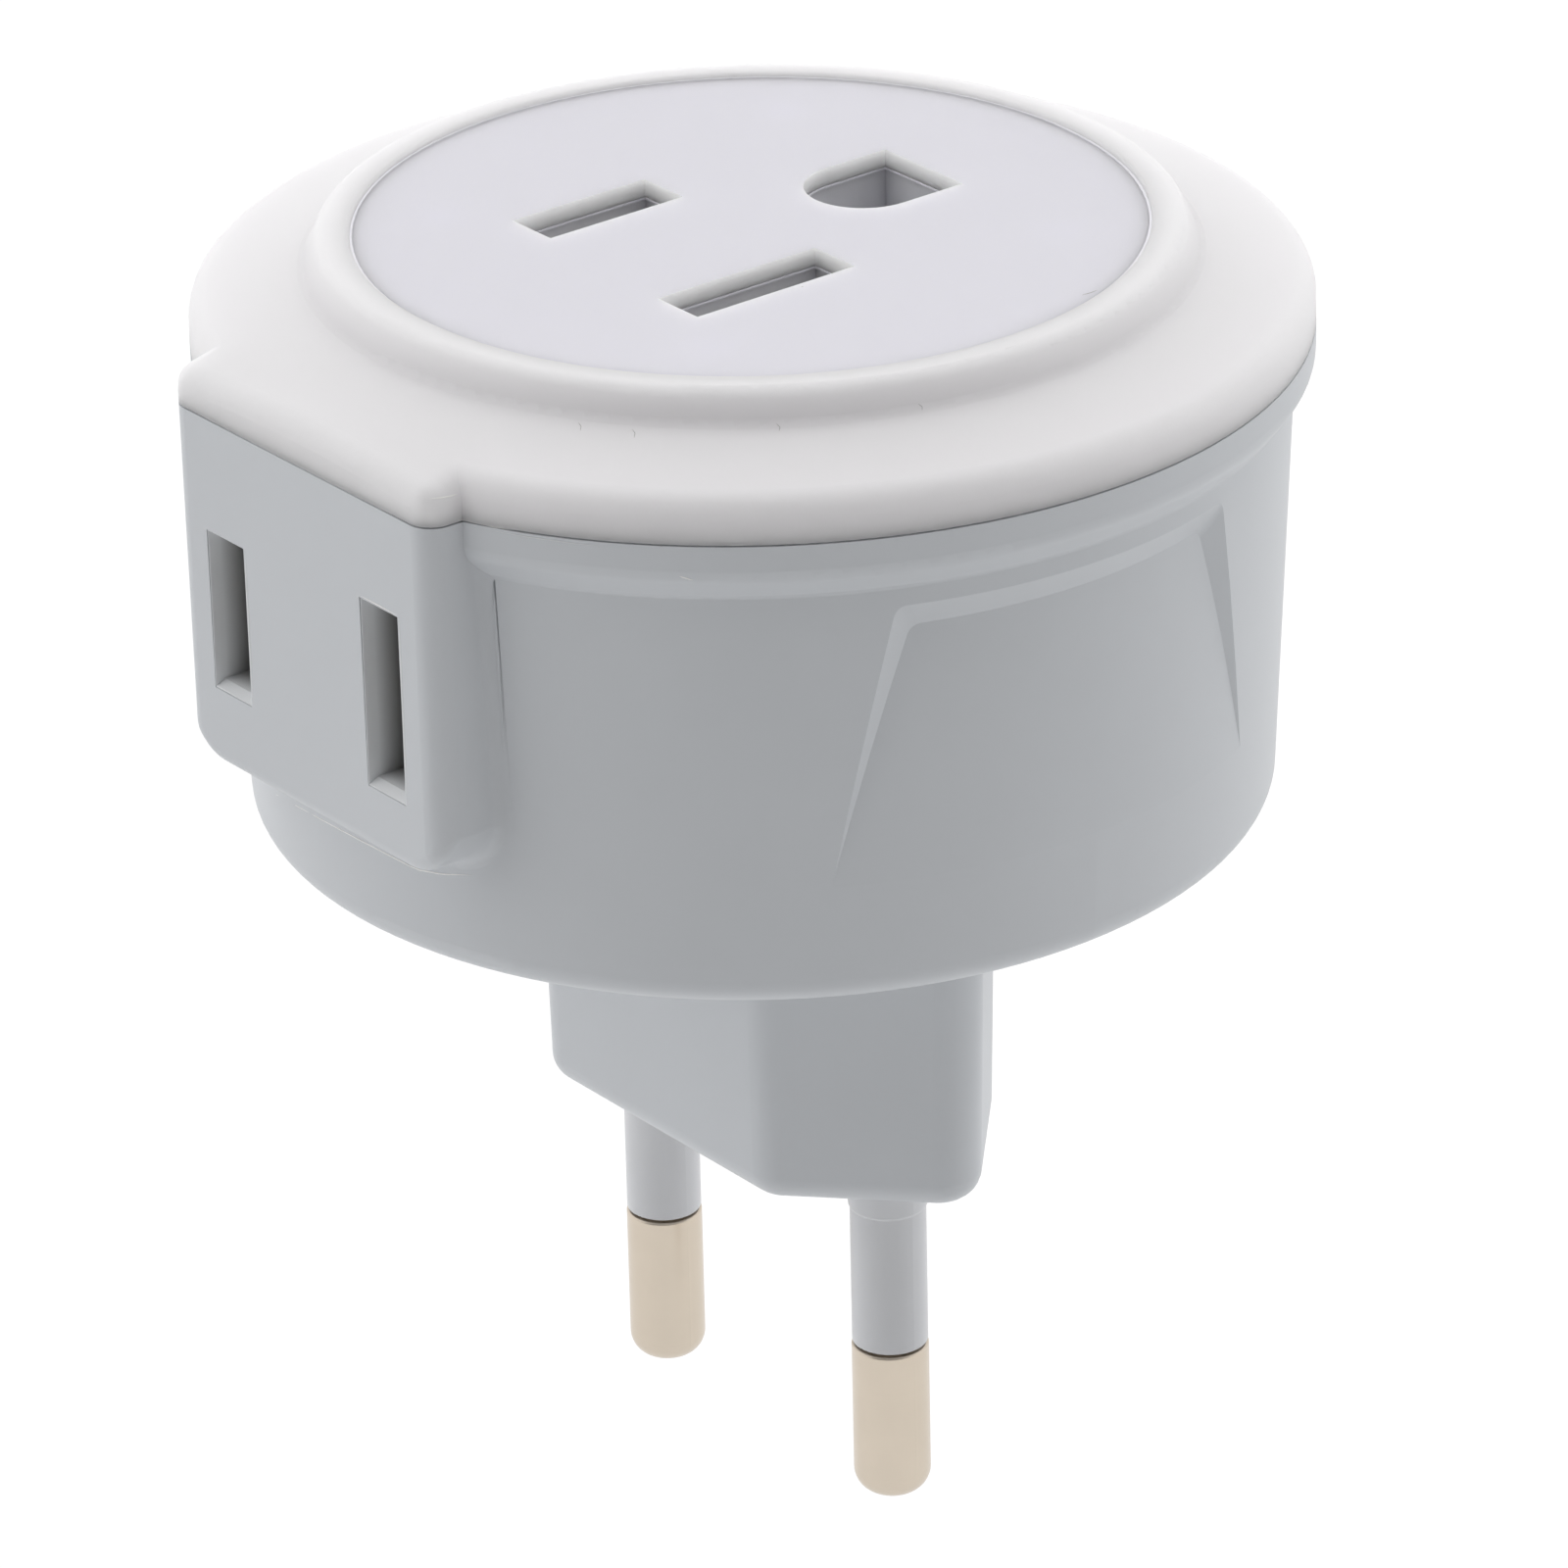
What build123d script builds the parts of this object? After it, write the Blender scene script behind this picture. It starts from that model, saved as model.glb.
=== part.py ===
from build123d import *
import math
import os

# Plug adapter: a round two-pole body with a hexagonal plug stem and two round pins below, a flat-blade
# socket face on top and a small side block with a second pair of blade slots. All sizes in millimetres.
# Origin: on the stem's foot face, midway between the pins. +X runs along the pin line, -Y points out of
# the side block and +Z points up, towards the socket face.

# Round pins and their insulating sleeves
pin_spacing = 19.0
pin_diameter = 4.0
pin_length = 19.0
pin_bare_length = 8.7
pin_tip_radius = 1.3
pin_neck_diameter = 3.0
pin_shank_diameter = 3.6
pin_seat_depth = 4.0
pin_collar_diameter = 6.4
pin_collar_height = 1.5
pin_tail_diameter = 2.8
pin_rivet_diameter = 4.6
pin_rivet_height = 0.9
sleeve_diameter = 3.94
sleeve_root_diameter = 4.4
sleeve_root_height = 2.3
sleeve_step = 0.08
sleeve_gap = 0.16
pin_edge_radius = 0.12
pin_fit = 0.04

# Plug stem, a long hexagon with its points on the X axis
stem_height = 18.45
stem_width = 33.6
stem_thickness = 15.0
stem_flat_length = 17.8
stem_draft = 1.1
stem_corner_radius = 2.2
stem_foot_radius = 1.5
stem_wall = 2.0
stem_floor = 2.4
pin_boss_diameter = 8.4
pin_boss_rise = 0.85

# Round body
body_height = 25.35
body_foot_inset = 1.99
wall_draft = 2.4
wall = 2.0
floor_thickness = 2.2
body_foot_radius = 1.5
rim_diameter = 55.84
rim_height = 1.75
rim_slope_height = 1.3
rim_blend_radius = 1.3
rim_root_radius = 0.4
spigot_depth = 2.2
spigot_thickness = 1.5
spigot_ledge = 0.4
fit_gap = 0.15
touch_gap = 0.05
seam_gap = 0.1

# Finger grips, one on each side, shallow and fading out downwards
grip_inset = 1.92
grip_top_drop = 5.5
grip_top_width = 17.4
grip_side_slope = 18.0
grip_length = 13.3
grip_tail = 4.0
grip_bevel_width = 1.2
grip_bevel_depth = 0.7
grip_corner_radius = 1.5
grip_turn = 2.4
grip_reach = 3
grip_spread = 100

# Side block
block_proud = 0.03
block_width = 21.2
block_height = 18.7
block_draft = 0.25
block_corner_radius = 1.3
block_inner_radius = 0.4
block_root_radius = 0.9
block_foot_radius = 2.8
block_foot_ease = 0.04
block_edge_radius = 0.7
block_wall = 1.4
block_lid_radius = 1.25
block_roof_step = 0.7

# Socket layout, for plugs with two flat blades and a round earth pin
blade_spacing = 12.7
blade_slot_width = 3.1
short_slot_length = 8.26
long_slot_length = 9.74
face_slot_offset = 4.63
earth_hole_offset = 7.27
earth_hole_width = 6.14
earth_hole_flat = 3.8
side_slot_height = 33.7
side_mouth_depth = 0.58
side_mouth_rise = 0.28

# White top cover
face_height = 5.1
face_diameter = 39.6
crest_rise = 0.2
crest_width = 1.65
crest_run = 0.75
crest_drop = 1.6
crest_radius = 0.7
crest_foot_radius = 0.6
cover_slope = 14.0
cover_edge_radius = 1.25
roof_drop = 3.5

# Face plate and the inner contact carrier
plate_thickness = 1.0
plate_edge_radius = 0.12
plate_peg_diameter = 2.4
plate_peg_length = 1.6
plate_peg_circle = 31.0
carrier_plate = 2.0
carrier_skirt = 1.4
carrier_flange_gap = 1.65
carrier_flange_thickness = 1.15
well_wall = 1.0
well_depth = 8.4
clip_gap = 0.4
barrier_thickness = 1.2
guide_thickness = 2.0
guide_width = 17.4
guide_margin = 1.4

# Brass strips and spring clips
strip_thickness = 0.8
strip_bend_radius = 1.2
strip_level = 28.4
strip_foot_width = 5.6
strip_foot_reach = 2.8
clip_thickness = 0.5
clip_base_width = 4.0
clip_bend_radius = 0.5
clip_pinch = 1.2
clip_mouth = 3.4
top_clip_length = 6.0
top_clip_height = 13.2
top_clip_pinch_height = 10.6
side_clip_height = 6.4
side_clip_base_length = 4.6
side_clip_setback = 14.85
side_clip_flare = 2.6
side_clip_mouth_gap = 0.4
rivet_diameter = 1.6
rivet_head_diameter = 2.4
rivet_head_height = 0.5
rivet_fit = 0.03

# Screws from below into posts under the cover
screw_diameter = 2.9
screw_length = 12.0
screw_head_diameter = 5.4
screw_head_height = 1.7
screw_recess = 2.3
screw_boss_diameter = 8.4
screw_boss_height = 4.6
screw_cross_length = 3.0
screw_cross_width = 0.8
screw_cross_depth = 1.1
screw_fit = 0.05
post_diameter = 5.6
post_gap = 0.4
screw_inset = 7.32
screw_angles = (90, -37.7, -142.3)
rib_thickness = 1.2
rib_depth = 3.8
rib_root = 0.5
rib_angles = (0, 60, 120, 180)

# Levels along Z and places that follow from the sizes above; past is how far a cut runs into open air
body_floor = stem_height + floor_thickness
seam = stem_height + body_height
face = seam + face_height
roof = face - roof_drop
plate_back = face - plate_thickness
carrier_back = plate_back - carrier_plate
flange_top = roof - touch_gap
flange_back = flange_top - carrier_flange_thickness
pin_boss_top = body_floor + pin_boss_rise
strip_foot = pin_boss_top + pin_collar_height
pin_bare_end = pin_bare_length - pin_length
rim_radius = rim_diameter / 2
block_reach = rim_radius + block_proud
grip_radius = rim_radius - grip_inset
body_foot = rim_radius - body_foot_inset
rim_slope_foot = seam - rim_height - rim_slope_height
wall_flare = math.tan(math.radians(wall_draft))
wall_top_radius = body_foot + (rim_slope_foot - stem_height) * wall_flare
wall_seam_radius = body_foot + (seam - stem_height) * wall_flare
bore_radius = rim_radius - wall - fit_gap
spigot_bore = bore_radius - fit_gap - spigot_thickness
block_foot = seam - block_height
screw_seat = stem_height + screw_recess
screw_boss_top = stem_height + screw_boss_height
face_radius = face_diameter / 2
strip_top = strip_level + strip_thickness
top_rivet_place = -face_slot_offset
side_clip_place = block_reach - side_clip_setback
side_rivet_place = -side_clip_place
strip_rest_place = (top_rivet_place + side_rivet_place) / 2
guide_front = block_reach - block_wall - fit_gap
side_clip_mouth = side_clip_place - guide_front + guide_thickness + side_clip_mouth_gap
screw_places = [Vector(rim_radius - screw_inset, 0).rotate(Axis.Z, angle) for angle in screw_angles]
sides = {"left": -1, "right": 1}
slot_lengths = ((-1, short_slot_length), (1, long_slot_length))
past = 1.0


def turned(points, radii=None):
    """Revolve a closed outline of (radius, height) points about Z; radii rounds the points it names."""
    with BuildPart() as made:
        with BuildSketch(Plane.XZ) as section:
            with BuildLine():
                Polyline(*points, close=True)
            make_face()
            for index, radius in (radii or {}).items():
                place = Vector(points[index][0], points[index][1])
                corner = section.vertices().sort_by_distance(place)[0]
                fillet(corner, radius)
        revolve(axis=Axis.Z)
    return made.part


def rod(diameter, low, high, x=0.0, y=0.0):
    """An upright cylinder between two levels."""
    return Pos(x, y, low) * extrude(Circle(diameter / 2), high - low)


def bent_sheet(points, thickness, radius, width):
    """A strip folded along a line in the XZ plane, its bends rounded, with its width along Y about zero."""
    with BuildPart() as made:
        with BuildSketch(Plane.XZ):
            with BuildLine():
                line = FilletPolyline(*points, radius=radius)
                offset(line, thickness / 2, side=Side.BOTH)
            make_face()
        extrude(amount=width / 2, both=True)
    return made.part


def hexagon(flat, width, thickness):
    """The stem's outline: two long flats and four bevels that meet in a point on the X axis."""
    half = [(width / 2, 0), (flat / 2, thickness / 2), (-flat / 2, thickness / 2)]
    return make_face(Polyline(*half, *[(-x, -y) for x, y in half], close=True))


def block_outline(inset):
    """The side block seen from above, from inside the body to its rounded front corners."""
    width = block_width - 2 * inset
    reach = block_reach - inset
    outline = Pos(0, -reach / 2) * Rectangle(width, reach)
    corners = outline.vertices().group_by(Axis.Y)[0]
    return fillet(corners, max(block_corner_radius - inset, block_inner_radius))


def blade_slots():
    """The two blade slots of a socket, the longer one on +X, drawn about the middle of the pair."""
    short = Pos(-blade_spacing / 2, 0) * Rectangle(blade_slot_width, short_slot_length)
    long = Pos(blade_spacing / 2, 0) * Rectangle(blade_slot_width, long_slot_length)
    return short + long


def earth_outline(wall_extra=0.0):
    """The earth hole: a half circle towards the blades and a square end away from them."""
    radius = earth_hole_width / 2 + wall_extra
    flat = earth_hole_flat + wall_extra
    outline = Circle(radius) + Pos(0, flat / 2) * Rectangle(2 * radius, flat)
    return Pos(0, earth_hole_offset) * outline


def grip_cutter():
    """The recess of one finger grip on the +X side, with a sloped bevel along its top and sides."""
    top = seam - grip_top_drop
    outer = grip_radius + grip_reach * grip_bevel_depth
    foot_radius = body_foot + (top - grip_length - stem_height) * wall_flare
    low = top - grip_length - grip_tail
    low_radius = foot_radius + (foot_radius - grip_radius) * grip_tail / grip_length
    section = Polyline(
        (low_radius, low),
        (outer, low),
        (outer, top + grip_reach * grip_bevel_width),
        (grip_radius, top),
        close=True,
    )
    cutter = Rot(0, 0, -grip_spread / 2) * revolve(Plane.XZ * make_face(section), Axis.Z, grip_spread)
    slope = math.radians(grip_side_slope)
    for hand in sides.values():
        angle = hand * math.asin(grip_top_width / 2 / grip_radius)
        radial = Vector(math.cos(angle), math.sin(angle), 0)
        around = Vector(-math.sin(angle), math.cos(angle), 0) * hand
        border = around * math.sin(slope) - Vector(0, 0, math.cos(slope))
        bevel = radial * grip_bevel_depth + around * grip_bevel_width
        outward = border.cross(bevel)
        if outward.dot(around) < 0:
            outward = -outward
        corner = radial * grip_radius + Vector(0, 0, top)
        cutter = split(cutter, Plane(corner, x_dir=border, z_dir=outward), keep=Keep.BOTTOM)
    return fillet(cutter.edges().filter_by(GeomType.HYPERBOLA), grip_corner_radius)


def is_block_root(edge):
    """True for the edges where the side block meets the body's round wall below the seam."""
    middle = edge.position_at(0.5)
    level = middle.Z
    wall_here = body_foot + (level - stem_height) * wall_flare
    on_wall = abs(math.hypot(middle.X, middle.Y) - wall_here) < touch_gap
    beside_block = abs(middle.X) < block_width and middle.Y < 0
    return on_wall and beside_block and block_foot - touch_gap < level < seam - touch_gap


def make_lower_housing():
    """Grey moulding: round cup with its rim, the side block and the plug stem in one piece."""
    outer = [
        (0, stem_height),
        (body_foot, stem_height),
        (wall_top_radius, rim_slope_foot),
        (rim_radius, seam - rim_height),
        (rim_radius, seam),
        (0, seam),
    ]
    shell = turned(outer, {1: body_foot_radius, 2: rim_root_radius, 3: rim_blend_radius})

    stem = hexagon(stem_flat_length, stem_width, stem_thickness)
    stem = extrude(stem, stem_height + past, taper=-stem_draft)
    uprights = stem.edges().filter_by(lambda edge: edge.length > stem_height and edge.center().Z > past)
    stem = fillet(uprights, stem_corner_radius)
    stem = fillet(stem.edges().group_by(Axis.Z)[0], stem_foot_radius)

    block = Pos(0, 0, seam) * extrude(block_outline(0), -block_height, taper=block_draft)
    half = block_width / 2 + block_foot_ease
    half_foot = half - block_height * math.tan(math.radians(block_draft))
    front = [(-half, seam), (half, seam), (half_foot, block_foot), (-half_foot, block_foot)]
    front = make_face(Polyline(*front, close=True))
    front = fillet(front.vertices().group_by(Axis.Y)[0], block_foot_radius)
    block = block & extrude(Plane.XZ * front, 2 * block_reach, both=True)
    foot_edges = block.edges().filter_by(
        lambda edge: edge.center().Y < -block_reach + 2 and edge.center().Z < block_foot + block_foot_radius
    )
    block = fillet(foot_edges, block_edge_radius)
    plain = [(0, stem_height), (body_foot, stem_height), (wall_seam_radius, seam), (0, seam)]
    joined = turned(plain, {1: body_foot_radius}) + block
    roots = joined.edges().filter_by(is_block_root)
    housing = fillet(roots, block_root_radius) + shell + stem

    grip = grip_cutter()
    right_grip = Rot(0, 0, -grip_turn) * grip
    housing = housing - right_grip - mirror(right_grip, Plane.YZ)

    inner_foot = body_foot - wall
    inner_top = wall_top_radius - wall
    inner = [
        (0, body_floor),
        (inner_foot, body_floor),
        (inner_top, rim_slope_foot),
        (inner_top, seam - spigot_depth - fit_gap - spigot_ledge),
        (bore_radius, seam - spigot_depth - fit_gap),
        (bore_radius, seam + past),
        (0, seam + past),
    ]
    housing = housing - turned(inner, {1: body_foot_radius / 2})
    housing = housing - Pos(0, 0, block_foot + block_wall) * extrude(block_outline(block_wall), block_height)

    cavity = offset(hexagon(stem_flat_length, stem_width, stem_thickness), -stem_wall)
    housing = housing - Pos(0, 0, stem_floor) * extrude(cavity, body_floor - stem_floor)

    for hand in sides.values():
        place = hand * pin_spacing / 2
        housing = housing + rod(pin_boss_diameter, stem_floor / 2, pin_boss_top, place)
        housing = housing - rod(pin_shank_diameter + 2 * pin_fit, -past, pin_boss_top + past, place)
        housing = housing - rod(sleeve_root_diameter + 2 * pin_fit, -past, pin_seat_depth, place)
        rest = Pos(hand * blade_spacing / 2, strip_rest_place) * Rectangle(clip_base_width, rib_thickness)
        rest_foot = body_floor - rib_root
        housing = housing + Pos(0, 0, rest_foot) * extrude(rest, strip_level - rest_foot)

    for x, y, _ in screw_places:
        housing = housing + rod(screw_boss_diameter, body_floor - rib_root, screw_boss_top, x, y)
        bore_top = screw_boss_top + past
        housing = housing - rod(screw_diameter + 4 * screw_fit, stem_height - past, bore_top, x, y)
        housing = housing - rod(screw_head_diameter + 4 * screw_fit, stem_height - past, screw_seat, x, y)

    rib_top = flange_back - touch_gap
    rib_shoulder = seam - spigot_depth - 2 * fit_gap
    rib_edge = spigot_bore - fit_gap
    rib_outline = Polyline(
        (rib_edge - rib_depth, body_floor - rib_root),
        (inner_top + rib_root, body_floor - rib_root),
        (inner_top + rib_root, rib_shoulder),
        (rib_edge, rib_shoulder),
        (rib_edge, rib_top),
        (rib_edge - rib_depth, rib_top),
        close=True,
    )
    rib = Pos(0, rib_thickness / 2) * extrude(Plane.XZ * make_face(rib_outline), rib_thickness)
    for angle in rib_angles:
        housing = housing + Rot(0, 0, angle) * rib

    mouth = Plane((0, -block_reach / 2, side_slot_height), x_dir=(1, 0, 0), z_dir=(0, -1, 0))
    housing = housing - extrude(mouth * blade_slots(), block_reach)
    for hand, length in slot_lengths:
        low = side_slot_height - length / 2
        front = -block_reach + (seam - low) * math.tan(math.radians(block_draft))
        drop = side_mouth_rise / side_mouth_depth * (side_mouth_depth + past)
        wedge = [(front + side_mouth_depth, low), (front - past, low), (front - past, low - drop)]
        wedge = extrude(Plane.YZ * make_face(Polyline(*wedge, close=True)), blade_slot_width / 2, both=True)
        housing = housing - Pos(hand * blade_spacing / 2, 0) * wedge
    return housing


def make_top_cover():
    """White moulding: flange with its raised ring, the block's lid, a locating spigot and screw posts."""
    crest = face + crest_rise
    crest_edge = face_radius + crest_width
    step_foot = crest_edge + crest_run
    slope_drop = (rim_radius - step_foot) * math.tan(math.radians(cover_slope))
    seat = seam + seam_gap
    outline = [
        (face_radius, roof),
        (face_radius, crest),
        (crest_edge, crest),
        (step_foot, crest - crest_drop),
        (rim_radius, crest - crest_drop - slope_drop),
        (rim_radius, seat),
        (bore_radius - fit_gap, seat),
        (bore_radius - fit_gap, seam - spigot_depth),
        (spigot_bore, seam - spigot_depth),
        (spigot_bore, roof),
    ]
    cover = turned(outline, {1: crest_rise, 2: crest_radius, 3: crest_foot_radius, 4: cover_edge_radius})

    inner = (spigot_bore + bore_radius) / 2
    slope_end = block_reach + 2 * block_lid_radius
    end_drop = crest_drop + (slope_end - step_foot) * math.tan(math.radians(cover_slope))
    slope = [
        (inner, seat),
        (slope_end, seat),
        (slope_end, crest - end_drop),
        (inner, crest - crest_drop - (inner - step_foot) * math.tan(math.radians(cover_slope))),
    ]
    lid = turned(slope) & (Pos(0, 0, seat) * extrude(block_outline(0), face - seat))
    top_edges = []
    for edge in lid.edges().filter_by(GeomType.LINE, reverse=True):
        middle = edge.position_at(0.5)
        if middle.Z > seat + touch_gap and math.hypot(middle.X, middle.Y) > inner + touch_gap:
            top_edges.append(edge)
    cover = cover + fillet(top_edges, block_lid_radius)

    hollow = block_outline(block_wall) & Pos(0, -block_reach) * Rectangle(
        block_width, 2 * (block_reach - crest_edge)
    )
    low = seam - spigot_depth - past
    cover = cover - Pos(0, 0, low) * extrude(hollow, roof - block_roof_step - low)

    for x, y, _ in screw_places:
        cover = cover + rod(post_diameter, screw_boss_top + touch_gap, roof + crest_rise, x, y)
        pilot_end = screw_seat + screw_length + past
        cover = cover - rod(screw_diameter + 2 * screw_fit, screw_boss_top - past, pilot_end, x, y)
    return cover - rod(face_diameter, roof, face + 2 * crest_rise)


def make_face_plate():
    """Pale disc set flush in the cover's ring, with the blade slots, the earth hole and four pegs behind."""
    radius = face_radius - touch_gap
    plate = turned([(0, plate_back), (radius, plate_back), (radius, face), (0, face)], {2: plate_edge_radius})
    for angle in range(45, 360, 90):
        place = Vector(plate_peg_circle / 2, 0).rotate(Axis.Z, angle)
        plate = plate + rod(plate_peg_diameter, plate_back - plate_peg_length, plate_back, place.X, place.Y)
    holes = Pos(0, -face_slot_offset) * blade_slots() + earth_outline()
    return plate - Pos(0, 0, plate_back - past) * extrude(holes, plate_thickness + 2 * past)


def make_contact_carrier():
    """Grey inner moulding: plate, skirt and flange, wells, and a barrier that carries the slots' guide."""
    radius = face_radius - fit_gap
    flange_radius = spigot_bore - carrier_flange_gap
    outline = [
        (0, plate_back),
        (radius, plate_back),
        (radius, flange_top),
        (flange_radius, flange_top),
        (flange_radius, flange_back),
        (radius - carrier_skirt, flange_back),
        (radius - carrier_skirt, carrier_back),
        (0, carrier_back),
    ]
    carrier = turned(outline)
    for x, y, _ in screw_places:
        carrier = carrier - rod(post_diameter + 2 * post_gap, stem_height, roof + touch_gap, x, y)
    for angle in range(45, 360, 90):
        place = Vector(plate_peg_circle / 2, 0).rotate(Axis.Z, angle)
        hole_foot = plate_back - plate_peg_length - touch_gap
        carrier = carrier - rod(plate_peg_diameter + 2 * pin_fit, hole_foot, plate_back, place.X, place.Y)

    barrier_foot = block_foot + block_wall + fit_gap
    barrier_back = earth_hole_offset - earth_hole_width / 2
    barrier = Pos(0, (barrier_back - guide_front) / 2) * Rectangle(
        barrier_thickness, barrier_back + guide_front
    )
    inside = rod(2 * (radius - carrier_skirt / 2), barrier_foot, carrier_back + carrier_plate / 2)
    outside = rod(4 * block_reach, barrier_foot, roof - block_roof_step - fit_gap)
    web = Pos(0, 0, barrier_foot) * extrude(barrier, face - barrier_foot)
    carrier = carrier + (web & (inside + outside))
    guide_height = long_slot_length + 2 * guide_margin
    guide = Plane((0, -guide_front, side_slot_height), x_dir=(1, 0, 0), z_dir=(0, -1, 0))
    guide = guide * (Rectangle(guide_width, guide_height) - blade_slots())
    carrier = carrier + extrude(guide, -guide_thickness)

    well_foot = carrier_back - well_depth
    for hand, length in slot_lengths:
        place = Pos(hand * blade_spacing / 2, -face_slot_offset, well_foot)
        width = clip_base_width + 2 * clip_gap
        outside = Rectangle(width + 2 * well_wall, length + 2 * clip_gap + 2 * well_wall)
        carrier = carrier + place * extrude(outside, well_depth + carrier_plate / 2)
        carrier = carrier - place * extrude(Rectangle(width, length + 2 * clip_gap), well_depth)
    carrier = carrier + Pos(0, 0, well_foot) * extrude(
        earth_outline(well_wall), well_depth + carrier_plate / 2
    )
    carrier = carrier - Pos(0, 0, well_foot - past) * extrude(earth_outline(), face - well_foot)
    slots = Pos(0, -face_slot_offset, carrier_back - past) * blade_slots()
    return carrier - extrude(slots, carrier_plate + 2 * past)


def make_pin(hand):
    """Turned, nickel-plated pin: round tip, thin neck for the sleeve, shank, collar and riveted tail."""
    radius = pin_diameter / 2
    tail_top = strip_foot + strip_thickness
    outline = [
        (0, -pin_length),
        (radius, -pin_length),
        (radius, pin_bare_end),
        (pin_neck_diameter / 2, pin_bare_end),
        (pin_neck_diameter / 2, pin_seat_depth),
        (pin_shank_diameter / 2, pin_seat_depth),
        (pin_shank_diameter / 2, pin_boss_top),
        (pin_collar_diameter / 2, pin_boss_top),
        (pin_collar_diameter / 2, strip_foot),
        (pin_tail_diameter / 2, strip_foot),
        (pin_tail_diameter / 2, tail_top),
        (pin_rivet_diameter / 2, tail_top),
        (pin_rivet_diameter / 2, tail_top + pin_rivet_height),
        (0, tail_top + pin_rivet_height),
    ]
    pin = turned(outline, {1: pin_tip_radius, 2: pin_edge_radius, 12: pin_rivet_height / 2})
    return Pos(hand * pin_spacing / 2, 0) * pin


def make_pin_sleeve(hand):
    """Moulded insulating sleeve on the pin's neck, thicker where it enters the stem."""
    bore = pin_neck_diameter / 2 + pin_fit
    radius = sleeve_diameter / 2
    root = sleeve_root_diameter / 2
    outline = [
        (bore, pin_bare_end + sleeve_gap),
        (radius, pin_bare_end + sleeve_gap),
        (radius, -sleeve_root_height),
        (radius + sleeve_step, -sleeve_root_height + 2 * sleeve_step),
        (root, 0),
        (root, pin_seat_depth),
        (bore, pin_seat_depth),
    ]
    return Pos(hand * pin_spacing / 2, 0) * turned(outline, {1: sleeve_step})


def make_bus_strip(hand):
    """Folded brass strip from the pin's tail up and forward to the two clips of one pole."""
    level_foot = strip_foot + strip_thickness / 2
    level_head = strip_level + strip_thickness / 2
    pin_place = pin_spacing / 2
    clip_place = blade_spacing / 2
    riser = pin_place - strip_foot_reach - strip_bend_radius
    fold = [
        (pin_place + strip_foot_reach, level_foot),
        (riser, level_foot),
        (riser, level_head),
        (clip_place + clip_base_width / 2, level_head),
    ]
    strip = bent_sheet(fold, strip_thickness, strip_bend_radius, strip_foot_width)
    arm_front = side_rivet_place - side_clip_base_length / 2
    arm = Pos(clip_place, arm_front / 2, strip_level) * Rectangle(clip_base_width, -arm_front)
    strip = strip + extrude(arm, strip_thickness)
    strip = strip - rod(pin_tail_diameter + 2 * pin_fit, strip_foot - past, strip_foot + 2 * past, pin_place)
    for place in (top_rivet_place, side_rivet_place):
        low, high = strip_level - past, strip_top + past
        strip = strip - rod(rivet_diameter + 2 * rivet_fit, low, high, clip_place, place)
    return strip if hand > 0 else mirror(strip, Plane.YZ)


def make_top_clip(hand):
    """Spring clip for one blade from above: a folded U that pinches near its flared mouth."""
    side = (clip_base_width - clip_thickness) / 2
    pinch = (clip_pinch + clip_thickness) / 2
    mouth = (clip_mouth - clip_thickness) / 2
    base = strip_top + clip_thickness / 2
    pinch_level = strip_top + top_clip_pinch_height
    top = strip_top + top_clip_height
    half = [(mouth, top), (pinch, pinch_level), (side, base)]
    fold = half + [(-x, z) for x, z in reversed(half)]
    clip = bent_sheet(fold, clip_thickness, clip_bend_radius, top_clip_length)
    clip = clip - rod(rivet_diameter + 2 * rivet_fit, strip_top - past, strip_top + past)
    return Pos(hand * blade_spacing / 2, top_rivet_place) * clip


def make_side_clip(hand):
    """Spring clip for one blade from the side: a channel whose two leaves reach forward and pinch."""
    side = (clip_base_width - clip_thickness) / 2
    pinch = (clip_pinch + clip_thickness) / 2
    mouth = (clip_mouth - clip_thickness) / 2
    base = strip_top + clip_thickness / 2
    top = side_slot_height + side_clip_height / 2
    fold = [(side, top), (side, base), (-side, base), (-side, top)]
    rear = side_clip_base_length / 2
    clip = bent_sheet(fold, clip_thickness, clip_bend_radius, side_clip_base_length)
    clip = clip - rod(rivet_diameter + 2 * rivet_fit, strip_top - past, strip_top + past)
    with BuildSketch() as plan:
        with BuildLine():
            route = FilletPolyline(
                (side, -rear + clip_thickness),
                (side, -rear - clip_bend_radius),
                (pinch, side_clip_mouth + side_clip_flare),
                (mouth, side_clip_mouth),
                radius=clip_bend_radius,
            )
            offset(route, clip_thickness / 2, side=Side.BOTH)
        make_face()
    low = side_slot_height - side_clip_height / 2 + clip_thickness
    leaf = Pos(0, 0, low) * extrude(plan.sketch, top - low)
    leaf = split(leaf, Plane((0, -rear, 0), z_dir=(0, -1, 0)), keep=Keep.TOP)
    clip = clip + leaf + mirror(leaf, Plane.YZ)
    return Pos(hand * blade_spacing / 2, side_rivet_place) * clip


def make_clip_rivets():
    """Four tubular rivets that fix the spring clips to the two bus strips."""
    low = strip_level
    high = strip_top + clip_thickness
    radius = rivet_diameter / 2
    head = rivet_head_diameter / 2
    outline = [
        (0, low - rivet_head_height),
        (head, low - rivet_head_height),
        (head, low),
        (radius, low),
        (radius, high),
        (head, high),
        (head, high + rivet_head_height),
        (0, high + rivet_head_height),
    ]
    rivet = turned(outline, {1: rivet_head_height / 2, 6: rivet_head_height / 2})
    columns = [hand * blade_spacing / 2 for hand in sides.values()]
    return Compound([Pos(x, y) * rivet for x in columns for y in (top_rivet_place, side_rivet_place)])


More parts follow.
